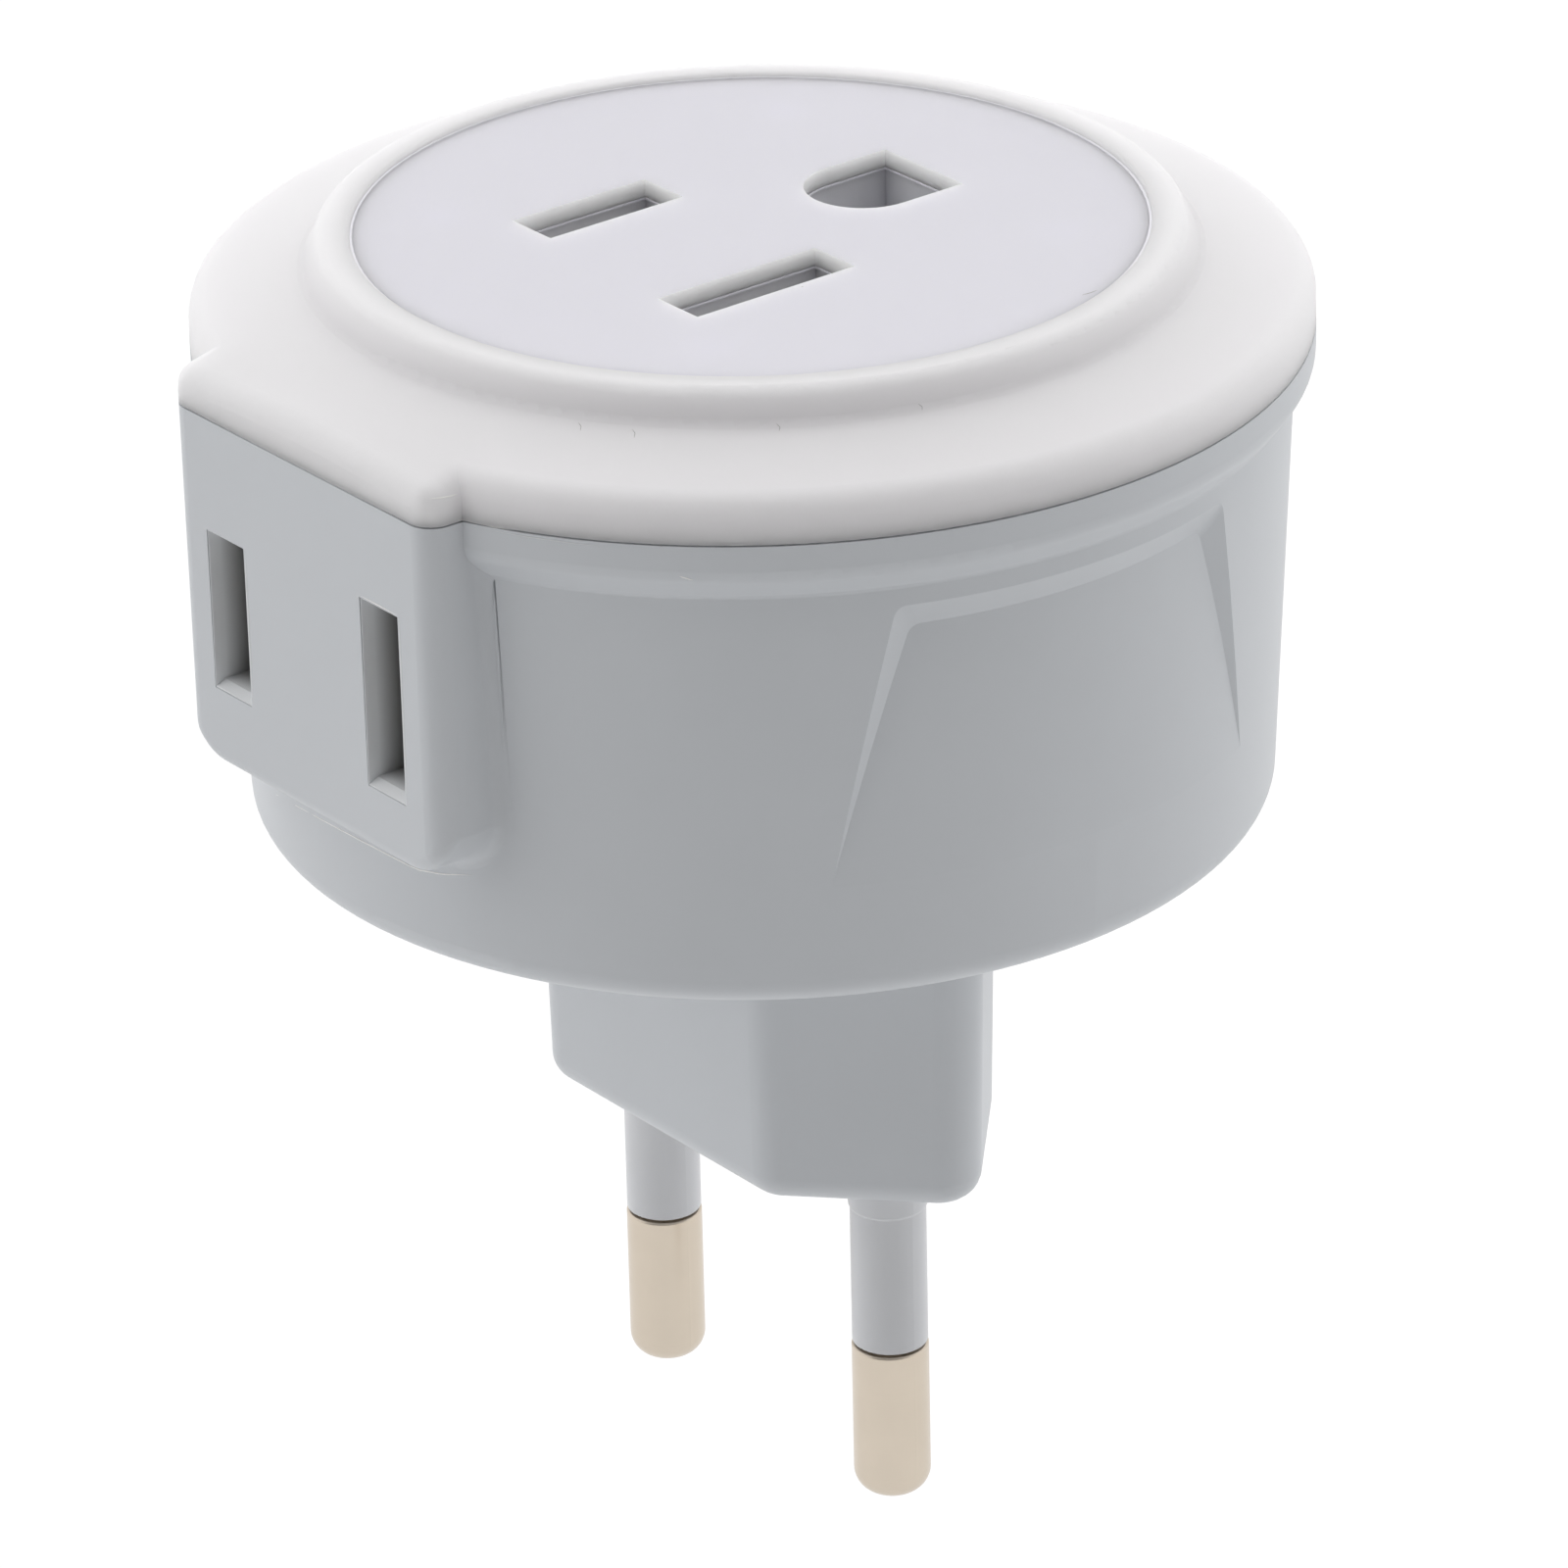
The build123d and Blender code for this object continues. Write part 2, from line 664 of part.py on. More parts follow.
def make_housing_screws():
    """Three cross-head screws, up through the housing's floor into the cover's posts."""
    radius = screw_diameter / 2
    head = screw_head_diameter / 2
    head_foot = screw_seat - screw_head_height
    tip = screw_seat + screw_length
    outline = [
        (0, head_foot),
        (head, head_foot),
        (head, screw_seat),
        (radius, screw_seat),
        (radius, tip - radius),
        (0.2 * radius, tip),
        (0, tip),
    ]
    screw = turned(outline, {1: screw_head_height / 3})
    for angle in (0, 90):
        slot = Rot(0, 0, angle) * Rectangle(screw_cross_length, screw_cross_width)
        screw = screw - Pos(0, 0, head_foot) * extrude(slot, screw_cross_depth)
    return Compound([Pos(x, y) * screw for x, y, _ in screw_places])


pieces = {
    "lower_housing": make_lower_housing(),
    "top_cover": make_top_cover(),
    "face_plate": make_face_plate(),
    "contact_carrier": make_contact_carrier(),
    "clip_rivets": make_clip_rivets(),
    "housing_screws": make_housing_screws(),
}
for side, hand in sides.items():
    pieces[f"pin_{side}"] = make_pin(hand)
    pieces[f"pin_sleeve_{side}"] = make_pin_sleeve(hand)
    pieces[f"bus_strip_{side}"] = make_bus_strip(hand)
    pieces[f"top_clip_{side}"] = make_top_clip(hand)
    pieces[f"side_clip_{side}"] = make_side_clip(hand)

os.makedirs("parts", exist_ok=True)
for name, piece in pieces.items():
    export_step(piece, f"parts/{name}.step")
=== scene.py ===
import math

import bpy
import numpy as np
from mathutils import Matrix, Vector


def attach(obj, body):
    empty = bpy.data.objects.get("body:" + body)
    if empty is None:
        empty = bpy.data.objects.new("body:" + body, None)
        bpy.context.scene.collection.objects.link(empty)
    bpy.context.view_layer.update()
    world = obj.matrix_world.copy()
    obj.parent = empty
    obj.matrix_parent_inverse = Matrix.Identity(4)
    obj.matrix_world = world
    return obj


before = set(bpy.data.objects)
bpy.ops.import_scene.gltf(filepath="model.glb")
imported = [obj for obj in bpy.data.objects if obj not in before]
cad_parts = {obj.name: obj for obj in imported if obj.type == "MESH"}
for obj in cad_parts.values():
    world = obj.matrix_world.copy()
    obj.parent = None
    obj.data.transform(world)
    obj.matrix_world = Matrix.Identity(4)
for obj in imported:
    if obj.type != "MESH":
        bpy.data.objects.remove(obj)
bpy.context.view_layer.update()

# All pieces are laid out in mm, in the part's frame, and turned into metres where they are made.
MM = 0.001

# The lower housing: one injection moulding in grey ABS, with the round cup, the side block, the
# finger grips and the plug stem. It comes out of a finely eroded mould, which leaves a satin skin
# with a faint waviness, and a few specks of dust from the moulding shop.
HOUSING_GREY = "C9CCD0"
DUST_GREY = "8E8C88"
PLASTIC_IOR = 1.53
MOULD_GRIT = 0.16
SKIN_DEPTH, SKIN_STRENGTH = 0.004, 0.5
SINK_WAVE = 9.0
SINK_DEPTH, SINK_STRENGTH = 0.05, 0.4
SHEEN_SWING = 0.04
SPECK_PITCH, SPECK_SIZE = 3.2, 0.07
CLEAN_SHARE = 0.8
UPRIGHT_LIMIT = 0.3


def linear(colour):
    """An sRGB hex colour as linear RGBA.

    Each channel c is c / 12.92 up to 0.04045, and ((c + 0.055) / 1.055) ** 2.4 above it.
    """
    channels = [int(colour[i:i + 2], 16) / 255 for i in (0, 2, 4)]
    return [c / 12.92 if c <= 0.04045 else ((c + 0.055) / 1.055) ** 2.4 for c in channels] + [1.0]


def darkened(colour, share):
    """An sRGB hex colour as linear RGBA, with red, green and blue times share."""
    return [c * share for c in linear(colour)[:3]] + [1.0]


def add(tree, kind, inputs=None, **settings):
    """Add a node: settings are its options, and inputs gives each socket a value or a socket."""
    made = tree.nodes.new(kind)
    for name, value in settings.items():
        setattr(made, name, value)
    for name, value in (inputs or {}).items():
        if isinstance(value, bpy.types.NodeSocket):
            tree.links.new(value, made.inputs[name])
        else:
            made.inputs[name].default_value = value
    return made


def blend(tree, factor, first, second, kind="RGBA"):
    """A value that goes from the first to the second as the factor goes from 0 to 1."""
    mix = add(tree, "ShaderNodeMix", {"Factor": factor, "A": first, "B": second}, data_type=kind)
    return mix.outputs["Result"]


def noise(tree, place, pitch, detail):
    """Noise whose grains are about pitch mm across."""
    inputs = {"Vector": place, "Scale": 1 / (pitch * MM), "Detail": detail}
    return add(tree, "ShaderNodeTexNoise", inputs).outputs["Fac"]


def swing(tree, value, middle, reach):
    """A level from middle - reach to middle + reach as the value goes from 0 to 1."""
    inputs = {"Value": value, "To Min": middle - reach, "To Max": middle + reach}
    return add(tree, "ShaderNodeMapRange", inputs).outputs["Result"]


def relief(tree, height, strength, depth, **under):
    """A bump of depth mm, on top of the normal in under where one is given."""
    inputs = {"Height": height, "Strength": strength, "Distance": depth * MM, **under}
    return add(tree, "ShaderNodeBump", inputs).outputs["Normal"]


def empty_material(name):
    """A new material with an empty node tree."""
    material = bpy.data.materials.new(name)
    material.use_nodes = True
    material.node_tree.nodes.clear()
    return material, material.node_tree


def shade_with(tree, inputs):
    """End a material's tree in a Principled shader with these inputs."""
    shader = add(tree, "ShaderNodeBsdfPrincipled", inputs)
    add(tree, "ShaderNodeOutputMaterial", {"Surface": shader.outputs["BSDF"]})


def give(material, *names):
    """Put one material on every slot of the named CAD nodes."""
    for name in names:
        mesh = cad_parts[name].data
        mesh.materials.clear()
        mesh.materials.append(material)


def moulded_plastic(name, colour, roughness, shade=0.94, grit=MOULD_GRIT, seep=0.0, painted_wall_light=None):
    """Satin moulded plastic: a slow tint, a waviness from shrinkage, the mould's grit, rare specks.

    shade is the deepest tint as a share of the colour, and seep is how far light spreads inside
    the plastic, in mm. The wall colour, where given, is painted on the upright faces of a thin
    plate as painted light, for the light that comes through the plate.
    """
    material, tree = empty_material(name)
    place = add(tree, "ShaderNodeTexCoord").outputs["Object"]
    slow = noise(tree, place, SINK_WAVE, 3.0)
    tone = blend(tree, slow, darkened(colour, shade), linear(colour))
    cells = add(tree, "ShaderNodeTexVoronoi", {"Vector": place, "Scale": 1 / (SPECK_PITCH * MM)})
    near = add(tree, "ShaderNodeMapRange", {
        "Value": cells.outputs["Distance"], "From Min": 0.0,
        "From Max": SPECK_SIZE / SPECK_PITCH, "To Min": 1.0, "To Max": 0.0})
    chosen = add(tree, "ShaderNodeMath", {0: cells.outputs["Color"], 1: CLEAN_SHARE},
                 operation="GREATER_THAN")
    spot = add(tree, "ShaderNodeMath", {0: near.outputs["Result"], 1: chosen.outputs[0]},
               operation="MULTIPLY")
    tone = blend(tree, spot.outputs[0], tone, linear(DUST_GREY))
    # Upright faces get the paler wall colour: painted light, for the light that comes through a thin
    # plate.
    if painted_wall_light:
        facing = add(tree, "ShaderNodeNewGeometry").outputs["True Normal"]
        rise = add(tree, "ShaderNodeSeparateXYZ", {"Vector": facing}).outputs["Z"]
        upright = add(tree, "ShaderNodeMath", {0: rise, 1: UPRIGHT_LIMIT}, operation="LESS_THAN")
        tone = blend(tree, upright.outputs[0], tone, linear(painted_wall_light))
    wave = relief(tree, slow, SINK_STRENGTH, SINK_DEPTH)
    skin = relief(tree, noise(tree, place, grit, 2.0), SKIN_STRENGTH, SKIN_DEPTH, Normal=wave)
    shade_with(tree, {
        "Base Color": tone, "IOR": PLASTIC_IOR, "Normal": skin,
        "Roughness": swing(tree, slow, roughness, SHEEN_SWING),
        "Subsurface Weight": 1.0 if seep else 0.0, "Subsurface Radius": (1, 1, 1),
        "Subsurface Scale": seep * MM})
    return material


give(moulded_plastic("moulded_grey_abs", HOUSING_GREY, roughness=0.42), "lower_housing")

# The pins: turned brass with a nickel plate, warm in tint, pressed and riveted into the housing.
# The turning tool left fine rings round the shank, and the plate is bright but not mirror-smooth.
NICKEL = "D6CABA"
RING_BREAK = 120
CLOUD_PITCH = 2.2
CLOUD_SHADE = 0.93
POLISH_SWING = 0.06
RING_STRENGTH = 0.5


def turned_metal(name, colour, roughness, pitch, depth):
    """Turned metal: rings along Z at the tool's pitch, which noise breaks up round the shaft.

    pitch and depth are the rings', in mm, and the rings show in the relief and the roughness.
    """
    material, tree = empty_material(name)
    place = add(tree, "ShaderNodeTexCoord").outputs["Object"]
    stretched = add(tree, "ShaderNodeMapping", {
        "Vector": place, "Scale": (RING_BREAK, RING_BREAK, 1 / (pitch * MM))})
    rings = add(tree, "ShaderNodeTexNoise", {
        "Vector": stretched.outputs["Vector"], "Scale": 1.0, "Detail": 3.0}).outputs["Fac"]
    cloud = noise(tree, place, CLOUD_PITCH, 2.0)
    shade_with(tree, {
        "Base Color": blend(tree, cloud, darkened(colour, CLOUD_SHADE), linear(colour)),
        "Metallic": 1.0, "Roughness": swing(tree, rings, roughness, POLISH_SWING),
        "Normal": relief(tree, rings, RING_STRENGTH, depth)})
    return material


give(turned_metal("nickel_plated_brass", NICKEL, roughness=0.3, pitch=0.12, depth=0.002),
     "pin_left", "pin_right")

# The pin sleeves: grey nylon, moulded straight onto the pins' necks, so they can't slip off. They
# come out a little smoother than the housing.
SLEEVE_GREY = "D6D7DA"
give(moulded_plastic("moulded_grey_nylon", SLEEVE_GREY, roughness=0.38, grit=0.2),
     "pin_sleeve_left", "pin_sleeve_right")

# The conductors: brass strip, stamped and folded, and spring clips of phosphor bronze riveted on
# it. They show only as a glint at the bottom of the slots.
BRASS = "D9B36C"
give(turned_metal("rolled_brass_strip", BRASS, roughness=0.36, pitch=0.5, depth=0.001),
     "bus_strip_left", "bus_strip_right", "top_clip_left", "top_clip_right",
     "side_clip_left", "side_clip_right", "clip_rivets")

# The contact carrier: an inner moulding in ABS, laid in the housing under the cover. Its wells
# hold the clips apart, and their walls line the slots below the face plate. Its near-white colour
# is painted light, paler than the mid grey the carrier shows below the plate, so that the slot
# walls there look lit through the plate.
CARRIER_PAINTED_PALE = "E6E6EA"
give(moulded_plastic("moulded_carrier_abs", CARRIER_PAINTED_PALE, roughness=0.48, seep=1.5),
     "contact_carrier")

# The face plate: a pale lilac-grey disc of ABS, pressed flush into the ring of the cover and
# welded there. It is thin, so light comes through the edges of its slots, and the upright faces
# of its slots are painted near-white for that light: painted light.
FACE_PALE = "DEDCE9"
PAINTED_EDGE_LIGHT = "FBFBFD"
give(moulded_plastic("moulded_pale_abs", FACE_PALE, roughness=0.46, shade=0.985, seep=3.0,
                     painted_wall_light=PAINTED_EDGE_LIGHT), "face_plate")

# The top cover: white moulding with the flange, the raised ring and the block's lid. It sits on
# the housing with a hairline gap, held by three screws from below.
COVER_WHITE = "EAE8EA"
give(moulded_plastic("moulded_white_abs", COVER_WHITE, roughness=0.44, shade=0.985, seep=3.0),
     "top_cover")

# The three screws: zinc-plated steel with a cross recess, driven into the cover's posts from
# below, each with its head in a recess of the housing's floor.
ZINC = "C4C6C8"
give(turned_metal("zinc_plated_steel", ZINC, roughness=0.34, pitch=0.3, depth=0.002),
     "housing_screws")

# The throats of the side slots: the housing's plastic, left rough by the mould's cores. Each
# throat is painted near-white at its mouth and near-black towards its inner end: painted light
# where the mouth is lit, and painted shade deeper in, where the slot's shade falls.
THROAT_MOUTH_PAINTED_LIGHT, THROAT_PAINTED_SHADE = "ECEEF0", "302F2D"
THROAT_ROUGHNESS = 0.6
SLOT_PLACE, SLOT_HEIGHT, SLOT_WIDTH = 6.35, 33.7, 3.1
SHORT_SLOT, LONG_SLOT = 8.26, 9.74
THROAT_FRONT, THROAT_BEND, THROAT_END = -27.86, -27.34, -24.6
THROAT_DROP = 0.25
THROAT_CLEARANCE, THROAT_SKIN = 0.02, 0.04
# The painted shade starts at the first Y and is full at the second, in mm.
PAINTED_SHADE_FROM, PAINTED_SHADE_TO = -27.2, -25.4


def solid_grid(name, rings, material, looped=False, smooth=False):
    """A closed skin through rings of points in mm, as a piece that rides on the root.

    looped joins the last ring to the first, and otherwise both ends are capped.
    """
    count, around = rings.shape[:2]
    faces = []
    for i in range(count if looped else count - 1):
        for j in range(around):
            here, there = i * around, (i + 1) % count * around
            faces.append((here + j, here + (j + 1) % around, there + (j + 1) % around, there + j))
    if not looped:
        faces.append(tuple(reversed(range(around))))
        faces.append(tuple(range((count - 1) * around, count * around)))
    mesh = bpy.data.meshes.new(name)
    mesh.from_pydata((rings.reshape(-1, 3) * MM).tolist(), [], faces)
    mesh.validate()
    if smooth:
        mesh.polygons.foreach_set("use_smooth", [True] * len(mesh.polygons))
    mesh.materials.append(material)
    piece = bpy.data.objects.new(name, mesh)
    bpy.context.scene.collection.objects.link(piece)
    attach(piece, "root")


def shade_graded_plastic(name, colour, painted_shade):
    """Rough plastic that turns from its colour to a dark one along Y, between two depths: painted
    shade.
    """
    material, tree = empty_material(name)
    place = add(tree, "ShaderNodeTexCoord").outputs["Object"]
    depth = add(tree, "ShaderNodeSeparateXYZ", {"Vector": place}).outputs["Y"]
    share = add(tree, "ShaderNodeMapRange", {
        "Value": depth, "From Min": PAINTED_SHADE_FROM * MM, "From Max": PAINTED_SHADE_TO * MM})
    grain = noise(tree, place, MOULD_GRIT, 2.0)
    shade_with(tree, {
        "Base Color": blend(tree, share.outputs["Result"], linear(colour), linear(painted_shade)),
        "Roughness": THROAT_ROUGHNESS, "Normal": relief(tree, grain, SKIN_STRENGTH, SKIN_DEPTH)})
    return material


# The throats' colours: painted light at the mouth, painted shade at the inner end.
shade_graded = shade_graded_plastic("painted_shade_grey_abs", THROAT_MOUTH_PAINTED_LIGHT, THROAT_PAINTED_SHADE)
throat = ((THROAT_FRONT, THROAT_DROP), (THROAT_BEND, 0.0), (THROAT_END, 0.0))
inner_skin = [(y, drop, THROAT_CLEARANCE + THROAT_SKIN) for y, drop in throat]
outer_skin = [(y, drop, THROAT_CLEARANCE) for y, drop in reversed(throat)]
for side, hand, length in (("left", -1, SHORT_SLOT), ("right", 1, LONG_SLOT)):
    loops = []
    for y, drop, inset in inner_skin + outer_skin:
        half, rise = SLOT_WIDTH / 2 - inset, length / 2 - inset
        loops.append([(hand * SLOT_PLACE + i * half, y,
                       SLOT_HEIGHT + j * rise - (drop if j < 0 else 0))
                      for i, j in ((-1, -1), (1, -1), (1, 1), (-1, 1))])
    solid_grid(f"side_slot_throat_{side}", np.array(loops), shade_graded, looped=True)

# Thin whiskers and small marks, laid on the parts. The pale lines along the seam, the rim, the
# slots' edges and the block's lower edge are painted highlights, for light caught by those edges.
# The rest are marks: a thin flash on the lid, a grey line in the lid's seam, a bead in the block's
# root, a scratch on the rim and a few short scuffs on the cover.
# Each row has its name, colour, radius in mm, material slot and path in the photo's pixels, and
# each piece is laid on the surface that its path meets.
# Whisker colours: the pale and grey ones serve the painted highlights, and also the lid's flash, the
# rim's scratch and the lid's seam line.
PALE_HIGHLIGHT_AND_MARK = "F6F5F3"
GREY_HIGHLIGHT_AND_JOINT = "D4D6D8"
SCUFF_GREY = "A9A7A5"
THIN_ROUGHNESS = 0.4
WHISKER_STEPS, WHISKER_SIDES = 18, 8
WHISKER_TIP = 0.15
WHISKERS = (
    ("seam_painted_highlight", PALE_HIGHLIGHT_AND_MARK, 0.05, "white_plastic",
     ((467, 530), (485, 533.5), (505, 538), (525, 541))),
    ("rim_painted_highlight", GREY_HIGHLIGHT_AND_JOINT, 0.03, "grey_plastic",
     ((500, 541), (540, 548), (575, 553), (612, 557.5))),
    ("lid_flash", PALE_HIGHLIGHT_AND_MARK, 0.035, "white_plastic",
     ((438, 509), (450, 508), (461, 506), (467, 504))),
    ("block_edge_painted_highlight", PALE_HIGHLIGHT_AND_MARK, 0.04, "grey_plastic",
     ((262, 800), (350, 848), (425, 887), (452, 892), (482, 893))),
    ("slot_painted_highlight_right", PALE_HIGHLIGHT_AND_MARK, 0.025, "grey_plastic",
     ((367.5, 607.8), (386, 617.6), (405, 627.8))),
    ("slot_edge_right", PALE_HIGHLIGHT_AND_MARK, 0.025, "grey_plastic",
     ((406.8, 632), (410.9, 724), (414.8, 810))),
    ("slot_edge_left", PALE_HIGHLIGHT_AND_MARK, 0.025, "grey_plastic",
     ((249.6, 562), (253.7, 638.6), (257.6, 712))),
    ("lid_seam_flash", GREY_HIGHLIGHT_AND_JOINT, 0.03, "white_plastic",
     ((191, 417.2), (239.3, 442.2), (300.9, 474.2), (363.6, 506.7), (422.2, 537.1))),
    ("block_root_bead", HOUSING_GREY, 0.07, "grey_plastic",
     ((503, 592), (507, 650), (511, 710), (515, 768))),
    ("rim_whisker", PALE_HIGHLIGHT_AND_MARK, 0.03, "grey_plastic", ((693, 588), (700, 590), (707, 592))),
    ("crest_scuff_1", SCUFF_GREY, 0.015, "white_plastic", ((590, 431), (593, 435), (592, 440))),
    ("crest_scuff_2", SCUFF_GREY, 0.015, "white_plastic", ((645, 438), (648, 442), (647, 447))),
    ("crest_scuff_3", SCUFF_GREY, 0.015, "white_plastic", ((792, 432), (796, 436), (795, 440))),
    ("crest_scuff_4", SCUFF_GREY, 0.015, "white_plastic", ((937, 412), (941, 415), (941, 419))),
    ("plate_scuff", SCUFF_GREY, 0.015, "pale_plastic", ((1104, 301), (1112, 299), (1120, 296))),
)

# The camera that took the photo, solved from the object's known sizes: it looks at the target from
# the azimuth, counted from -Y towards +X, and the elevation, and is tilted by the roll.
AZIMUTH, ELEVATION, ROLL = np.radians([52.1759, 25.7419, -1.3707])
CAMERA_DISTANCE = 442.815 * MM
CAMERA_TARGET = np.array([0.0, 0.0, 18.05 * MM])
PHOTO_SIZE = 1600
CENTRE_COLUMN = 779.55
FOCAL_PIXELS = 8873.43

back = np.array([math.sin(AZIMUTH) * math.cos(ELEVATION), -math.cos(AZIMUTH) * math.cos(ELEVATION),
                 math.sin(ELEVATION)])
across = np.cross(-back, (0, 0, 1))
across /= np.linalg.norm(across)
down = np.cross(-back, across)
right = math.cos(ROLL) * across - math.sin(ROLL) * down
up = -(math.sin(ROLL) * across + math.cos(ROLL) * down)
eye = CAMERA_TARGET + back * CAMERA_DISTANCE


def surface_point(column, row):
    """Where the sight line through this place in the photo first meets a CAD node, and the normal.

    The line runs along -back, plus right times the column's distance from the centre column and
    minus up times the row's from the middle row, each divided by the focal length in pixels.
    """
    line = (-back + (column - CENTRE_COLUMN) / FOCAL_PIXELS * right
            - (row - PHOTO_SIZE / 2) / FOCAL_PIXELS * up)
    met = [node.ray_cast(Vector(eye), Vector(line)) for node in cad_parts.values()]
    nearest = min((hit for hit in met if hit[0]), key=lambda hit: (hit[1] - Vector(eye)).length)
    return np.array(nearest[1]) / MM, np.array(nearest[2])


def plain_plastic(name, colour):
    """Plastic of one colour, for pieces too thin to show a grain."""
    material, tree = empty_material(name)
    shade_with(tree, {"Base Color": linear(colour), "Roughness": THIN_ROUGHNESS})
    return material


bpy.context.view_layer.update()
# The pale and grey thin plastics carry painted highlights as well as real marks.
thin_plastics = {colour: plain_plastic(name, colour) for name, colour in (
    ("pale_highlight_and_mark", PALE_HIGHLIGHT_AND_MARK), ("grey_highlight_and_joint", GREY_HIGHLIGHT_AND_JOINT), ("scuffed_plastic", SCUFF_GREY),
    ("plain_grey_abs", HOUSING_GREY))}
angles = np.linspace(0, 2 * math.pi, WHISKER_SIDES, endpoint=False)[None, :, None]
taper = np.maximum(WHISKER_TIP, 1 - np.abs(np.linspace(-1, 1, WHISKER_STEPS)) ** 3)[:, None, None]
for name, colour, radius, slot, path in WHISKERS:
    columns, rows = np.array(path).T
    corners = range(len(path))
    found = [surface_point(np.interp(t, corners, columns), np.interp(t, corners, rows))
             for t in np.linspace(0, len(path) - 1, WHISKER_STEPS)]
    centres, normals = (np.array(column) for column in zip(*found))
    along = np.gradient(centres, axis=0)
    along /= np.linalg.norm(along, axis=1)[:, None]
    sideways = np.cross(along, normals)
    spokes = np.cos(angles) * normals[:, None] + np.sin(angles) * sideways[:, None]
    solid_grid(name, centres[:, None] + radius * taper * spokes, thin_plastics[colour],
               smooth=True)

# The weld bead: where the face plate was welded into the ring, a little plastic flowed up and
# closed the joint almost level with the plate. The outline is outward from the joint, and height.
WELD_PALE = "EDECF2"
BEAD_RADIUS = 19.8
BEAD_OUTLINE = ((-0.12, 48.80), (0.0, 48.70), (0.12, 48.80),
                (0.12, 48.88), (0.0, 48.895), (-0.12, 48.88))
BEAD_STEPS = 240

bead = [[((BEAD_RADIUS + out) * math.cos(t), (BEAD_RADIUS + out) * math.sin(t), z)
         for out, z in BEAD_OUTLINE]
        for t in np.linspace(0, 2 * math.pi, BEAD_STEPS, endpoint=False)]
welded = plain_plastic("welded_pale_abs", WELD_PALE)
solid_grid("plate_weld_bead", np.array(bead), welded, looped=True)

# The slot lips: where the face plate sits on the carrier, the plate's edge stands a hair proud
# inside each slot and catches the light. Each lip's root is sunk in the slot's wall.
LIP_LOW, LIP_HIGH = 47.84, 47.94
LIP_INSET, LIP_ROOT = 0.05, -0.03
TOP_SLOT_OFFSET = -4.63
EARTH_PLACE, EARTH_RADIUS, EARTH_FLAT = 7.27, 3.07, 3.8
EARTH_STEPS = 32


def slot_path(hand, length, inset):
    """The outline of a top blade slot, taken in by inset."""
    half, reach = SLOT_WIDTH / 2 - inset, length / 2 - inset
    return [(hand * SLOT_PLACE + i * half, TOP_SLOT_OFFSET + j * reach)
            for i, j in ((-1, -1), (1, -1), (1, 1), (-1, 1))]


def earth_path(inset):
    """The outline of the earth hole, a half circle that runs on to a square end, less inset."""
    radius, flat = EARTH_RADIUS - inset, EARTH_PLACE + EARTH_FLAT - inset
    arc = [(radius * math.cos(t), EARTH_PLACE + radius * math.sin(t))
           for t in np.linspace(math.pi, 2 * math.pi, EARTH_STEPS)]
    return arc + [(radius, flat), (-radius, flat)]


for name, path_at in (("short_slot_lip", lambda inset: slot_path(-1, SHORT_SLOT, inset)),
                      ("long_slot_lip", lambda inset: slot_path(1, LONG_SLOT, inset)),
                      ("earth_hole_lip", earth_path)):
    outline = ((LIP_LOW, LIP_ROOT), (LIP_LOW, LIP_INSET), (LIP_HIGH, LIP_INSET),
               (LIP_HIGH, LIP_ROOT))
    lip = [[(x, y, z) for x, y in path_at(inset)] for z, inset in outline]
    solid_grid(name, np.array(lip), welded, looped=True)

# The studio: a white paper floor well under the pins, in a white surround that lights from all
# round but for a dark gap about where the camera stands, so the side that faces the camera is the
# darker one. Gloss mirrors a milder gap, and the camera sees the floor and the surround as white.
PAPER_WHITE = "EFEFEF"
PAPER_SEEN, PAPER_GLOW = 0.42, 0.62
FLOOR_LEVEL, FLOOR_HALF = -45 * MM, 3.0
GAP_AZIMUTH, GAP_ELEVATION = np.radians([-33.9, 16.0])
GAP_EDGE, GAP_LEVELS = (0.53, 0.66), (1.34, 0.02)
MIRRORED_EDGE, MIRRORED_LEVELS = (0.35, 0.9), (1.0, 0.36)


def rays_of(tree, *kinds):
    """1 for rays of either of two kinds that Light Path names, and 0 for the rest."""
    light_path = add(tree, "ShaderNodeLightPath")
    return add(tree, "ShaderNodeMath", {i: light_path.outputs[kind] for i, kind in enumerate(kinds)},
               operation="MAXIMUM").outputs[0]


def level_toward(tree, direction, aim, edge, levels):
    """A level that eases from the first of levels to the second as the direction nears the aim.

    It does so where the cosine of the angle between them goes from the first of edge to the second.
    """
    near = add(tree, "ShaderNodeVectorMath", {0: direction, 1: tuple(aim)}, operation="DOT_PRODUCT")
    eased = add(tree, "ShaderNodeMapRange", {
        "Value": near.outputs["Value"], "From Min": edge[0], "From Max": edge[1],
        "To Min": levels[0], "To Max": levels[1]}, interpolation_type="SMOOTHSTEP")
    return eased.outputs["Result"]


floor_mesh = bpy.data.meshes.new("floor")
floor_mesh.from_pydata([(x * FLOOR_HALF, y * FLOOR_HALF, FLOOR_LEVEL)
                        for x, y in ((-1, -1), (1, -1), (1, 1), (-1, 1))], [], [(0, 1, 2, 3)])
floor = bpy.data.objects.new("floor", floor_mesh)
bpy.context.scene.collection.objects.link(floor)
floor_material, tree = empty_material("white_paper")
paper = add(tree, "ShaderNodeBsdfDiffuse", {"Color": linear(PAPER_WHITE)})
dim_paper = add(tree, "ShaderNodeBsdfDiffuse", {"Color": (PAPER_SEEN, PAPER_SEEN, PAPER_SEEN, 1)})
glow = add(tree, "ShaderNodeEmission", {"Color": (1, 1, 1, 1), "Strength": PAPER_GLOW})
seen = add(tree, "ShaderNodeAddShader", {0: dim_paper.outputs[0], 1: glow.outputs[0]})
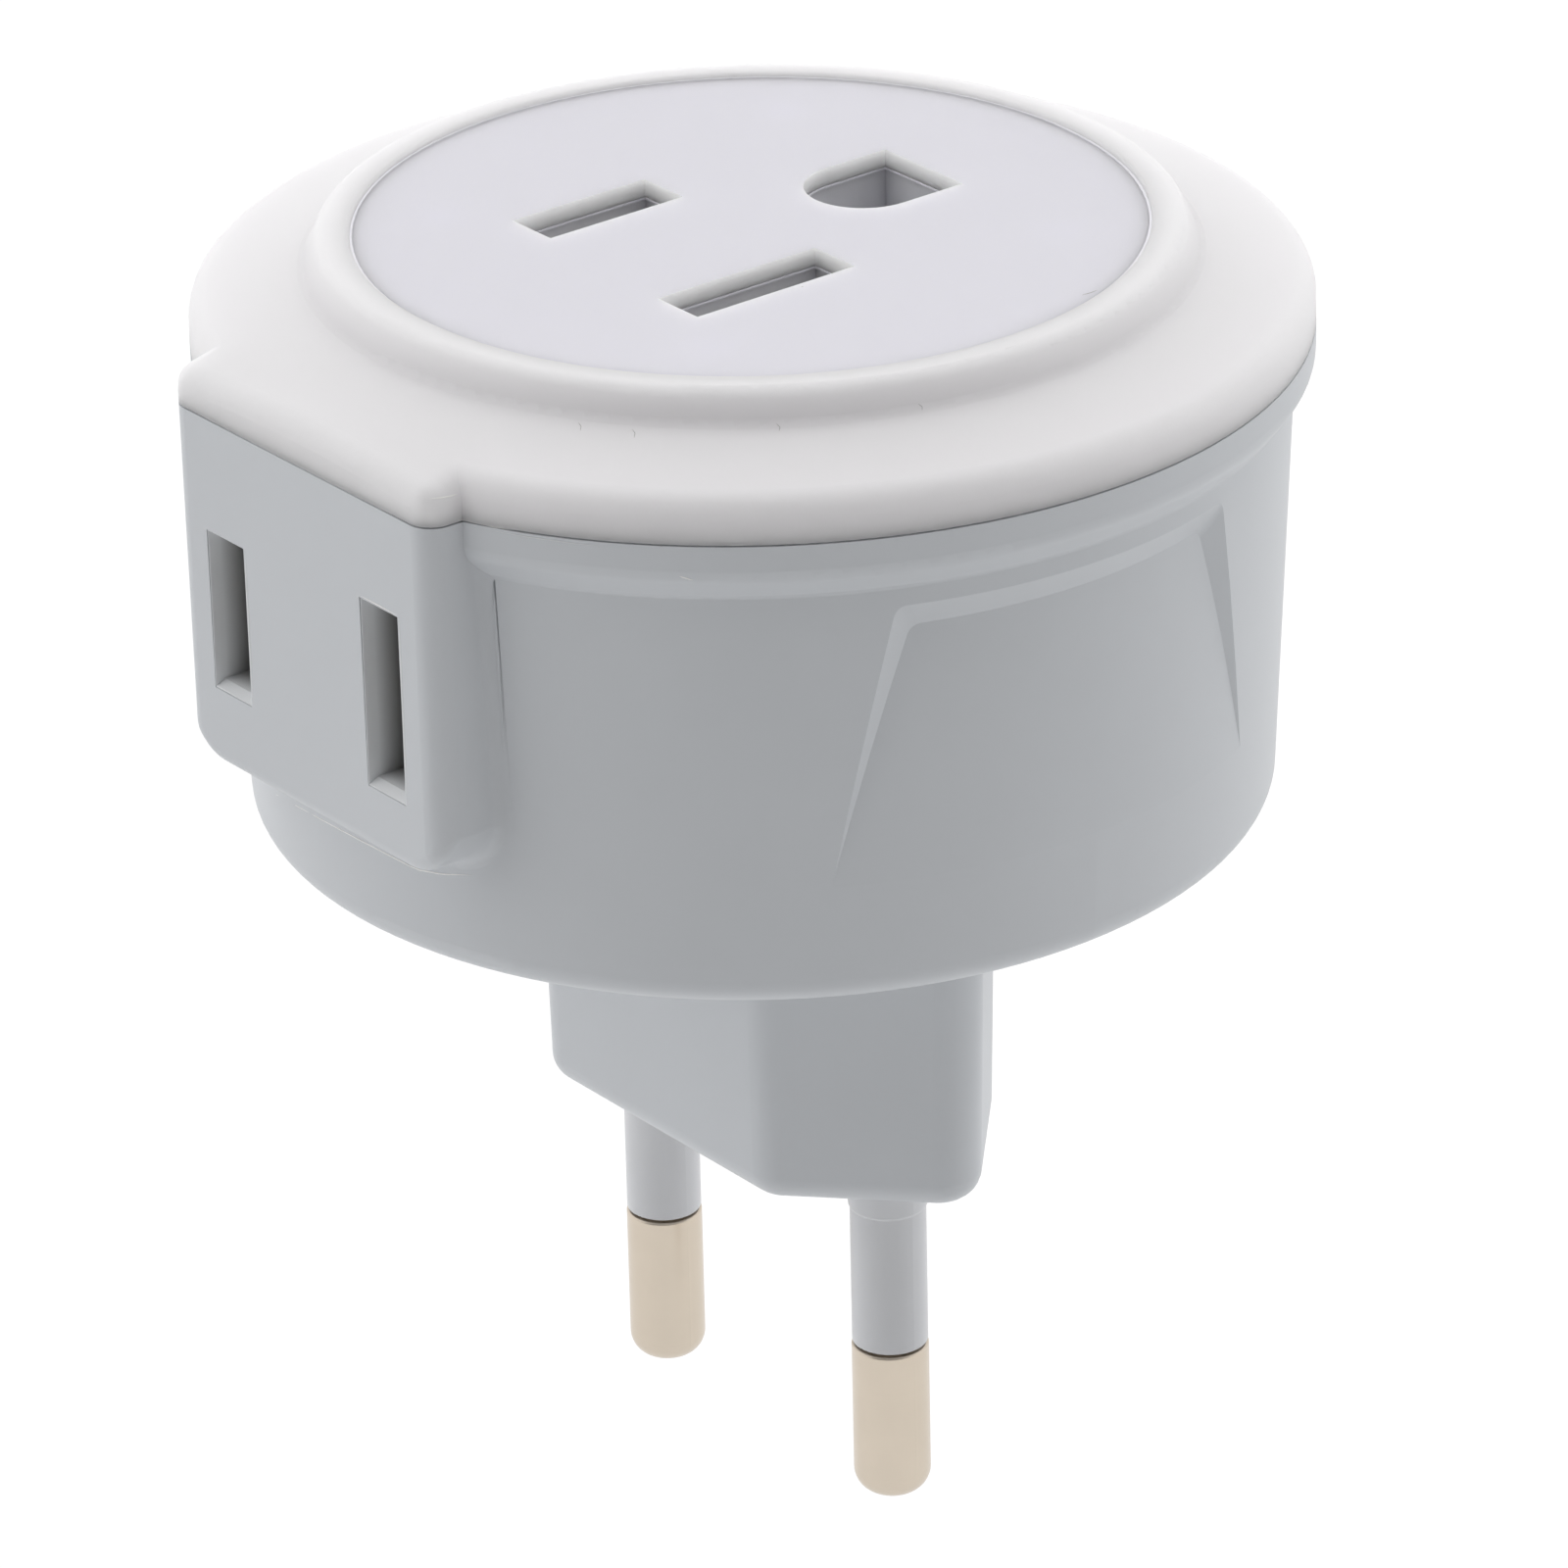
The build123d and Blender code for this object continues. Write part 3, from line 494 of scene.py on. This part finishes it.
mixed = add(tree, "ShaderNodeMixShader", {
    0: rays_of(tree, "Is Camera Ray", "Is Glossy Ray"), 1: paper.outputs[0], 2: seen.outputs[0]})
add(tree, "ShaderNodeOutputMaterial", {"Surface": mixed.outputs[0]})
floor_mesh.materials.append(floor_material)

world = bpy.data.worlds.new("surround")
bpy.context.scene.world = world
world.use_nodes = True
tree = world.node_tree
tree.nodes.clear()
direction = add(tree, "ShaderNodeTexCoord").outputs["Generated"]
gap = (math.cos(GAP_ELEVATION) * math.cos(GAP_AZIMUTH),
       math.cos(GAP_ELEVATION) * math.sin(GAP_AZIMUTH), math.sin(GAP_ELEVATION))
softboxes = level_toward(tree, direction, gap, GAP_EDGE, GAP_LEVELS)
mirrored = level_toward(tree, direction, back, MIRRORED_EDGE, MIRRORED_LEVELS)
is_glossy = add(tree, "ShaderNodeLightPath").outputs["Is Glossy Ray"]
lit = blend(tree, is_glossy, softboxes, mirrored, kind="FLOAT")
level = blend(tree, rays_of(tree, "Is Camera Ray", "Is Transmission Ray"), lit, 1.0, kind="FLOAT")
surround = add(tree, "ShaderNodeBackground", {"Color": (1, 1, 1, 1), "Strength": level})
add(tree, "ShaderNodeOutputWorld", {"Surface": surround.outputs[0]})

# The camera stands where the photo was taken: a long lens, close by, with the photo's slight tilt.
# Its view is shifted a little to the side, as the photo's is.
SENSOR_WIDTH = 36

camera_data = bpy.data.cameras.new("camera")
camera_data.sensor_width = SENSOR_WIDTH
camera_data.lens = FOCAL_PIXELS / PHOTO_SIZE * SENSOR_WIDTH
camera_data.shift_x = (PHOTO_SIZE / 2 - CENTRE_COLUMN) / PHOTO_SIZE
camera_data.clip_start = 0.01
camera_data.clip_end = 20
camera = bpy.data.objects.new("camera", camera_data)
bpy.context.scene.collection.objects.link(camera)
camera.matrix_world = Matrix(
    [[right[i], up[i], back[i], eye[i]] for i in range(3)] + [[0, 0, 0, 1]])
bpy.context.scene.camera = camera
bpy.context.scene.view_settings.view_transform = "Standard"
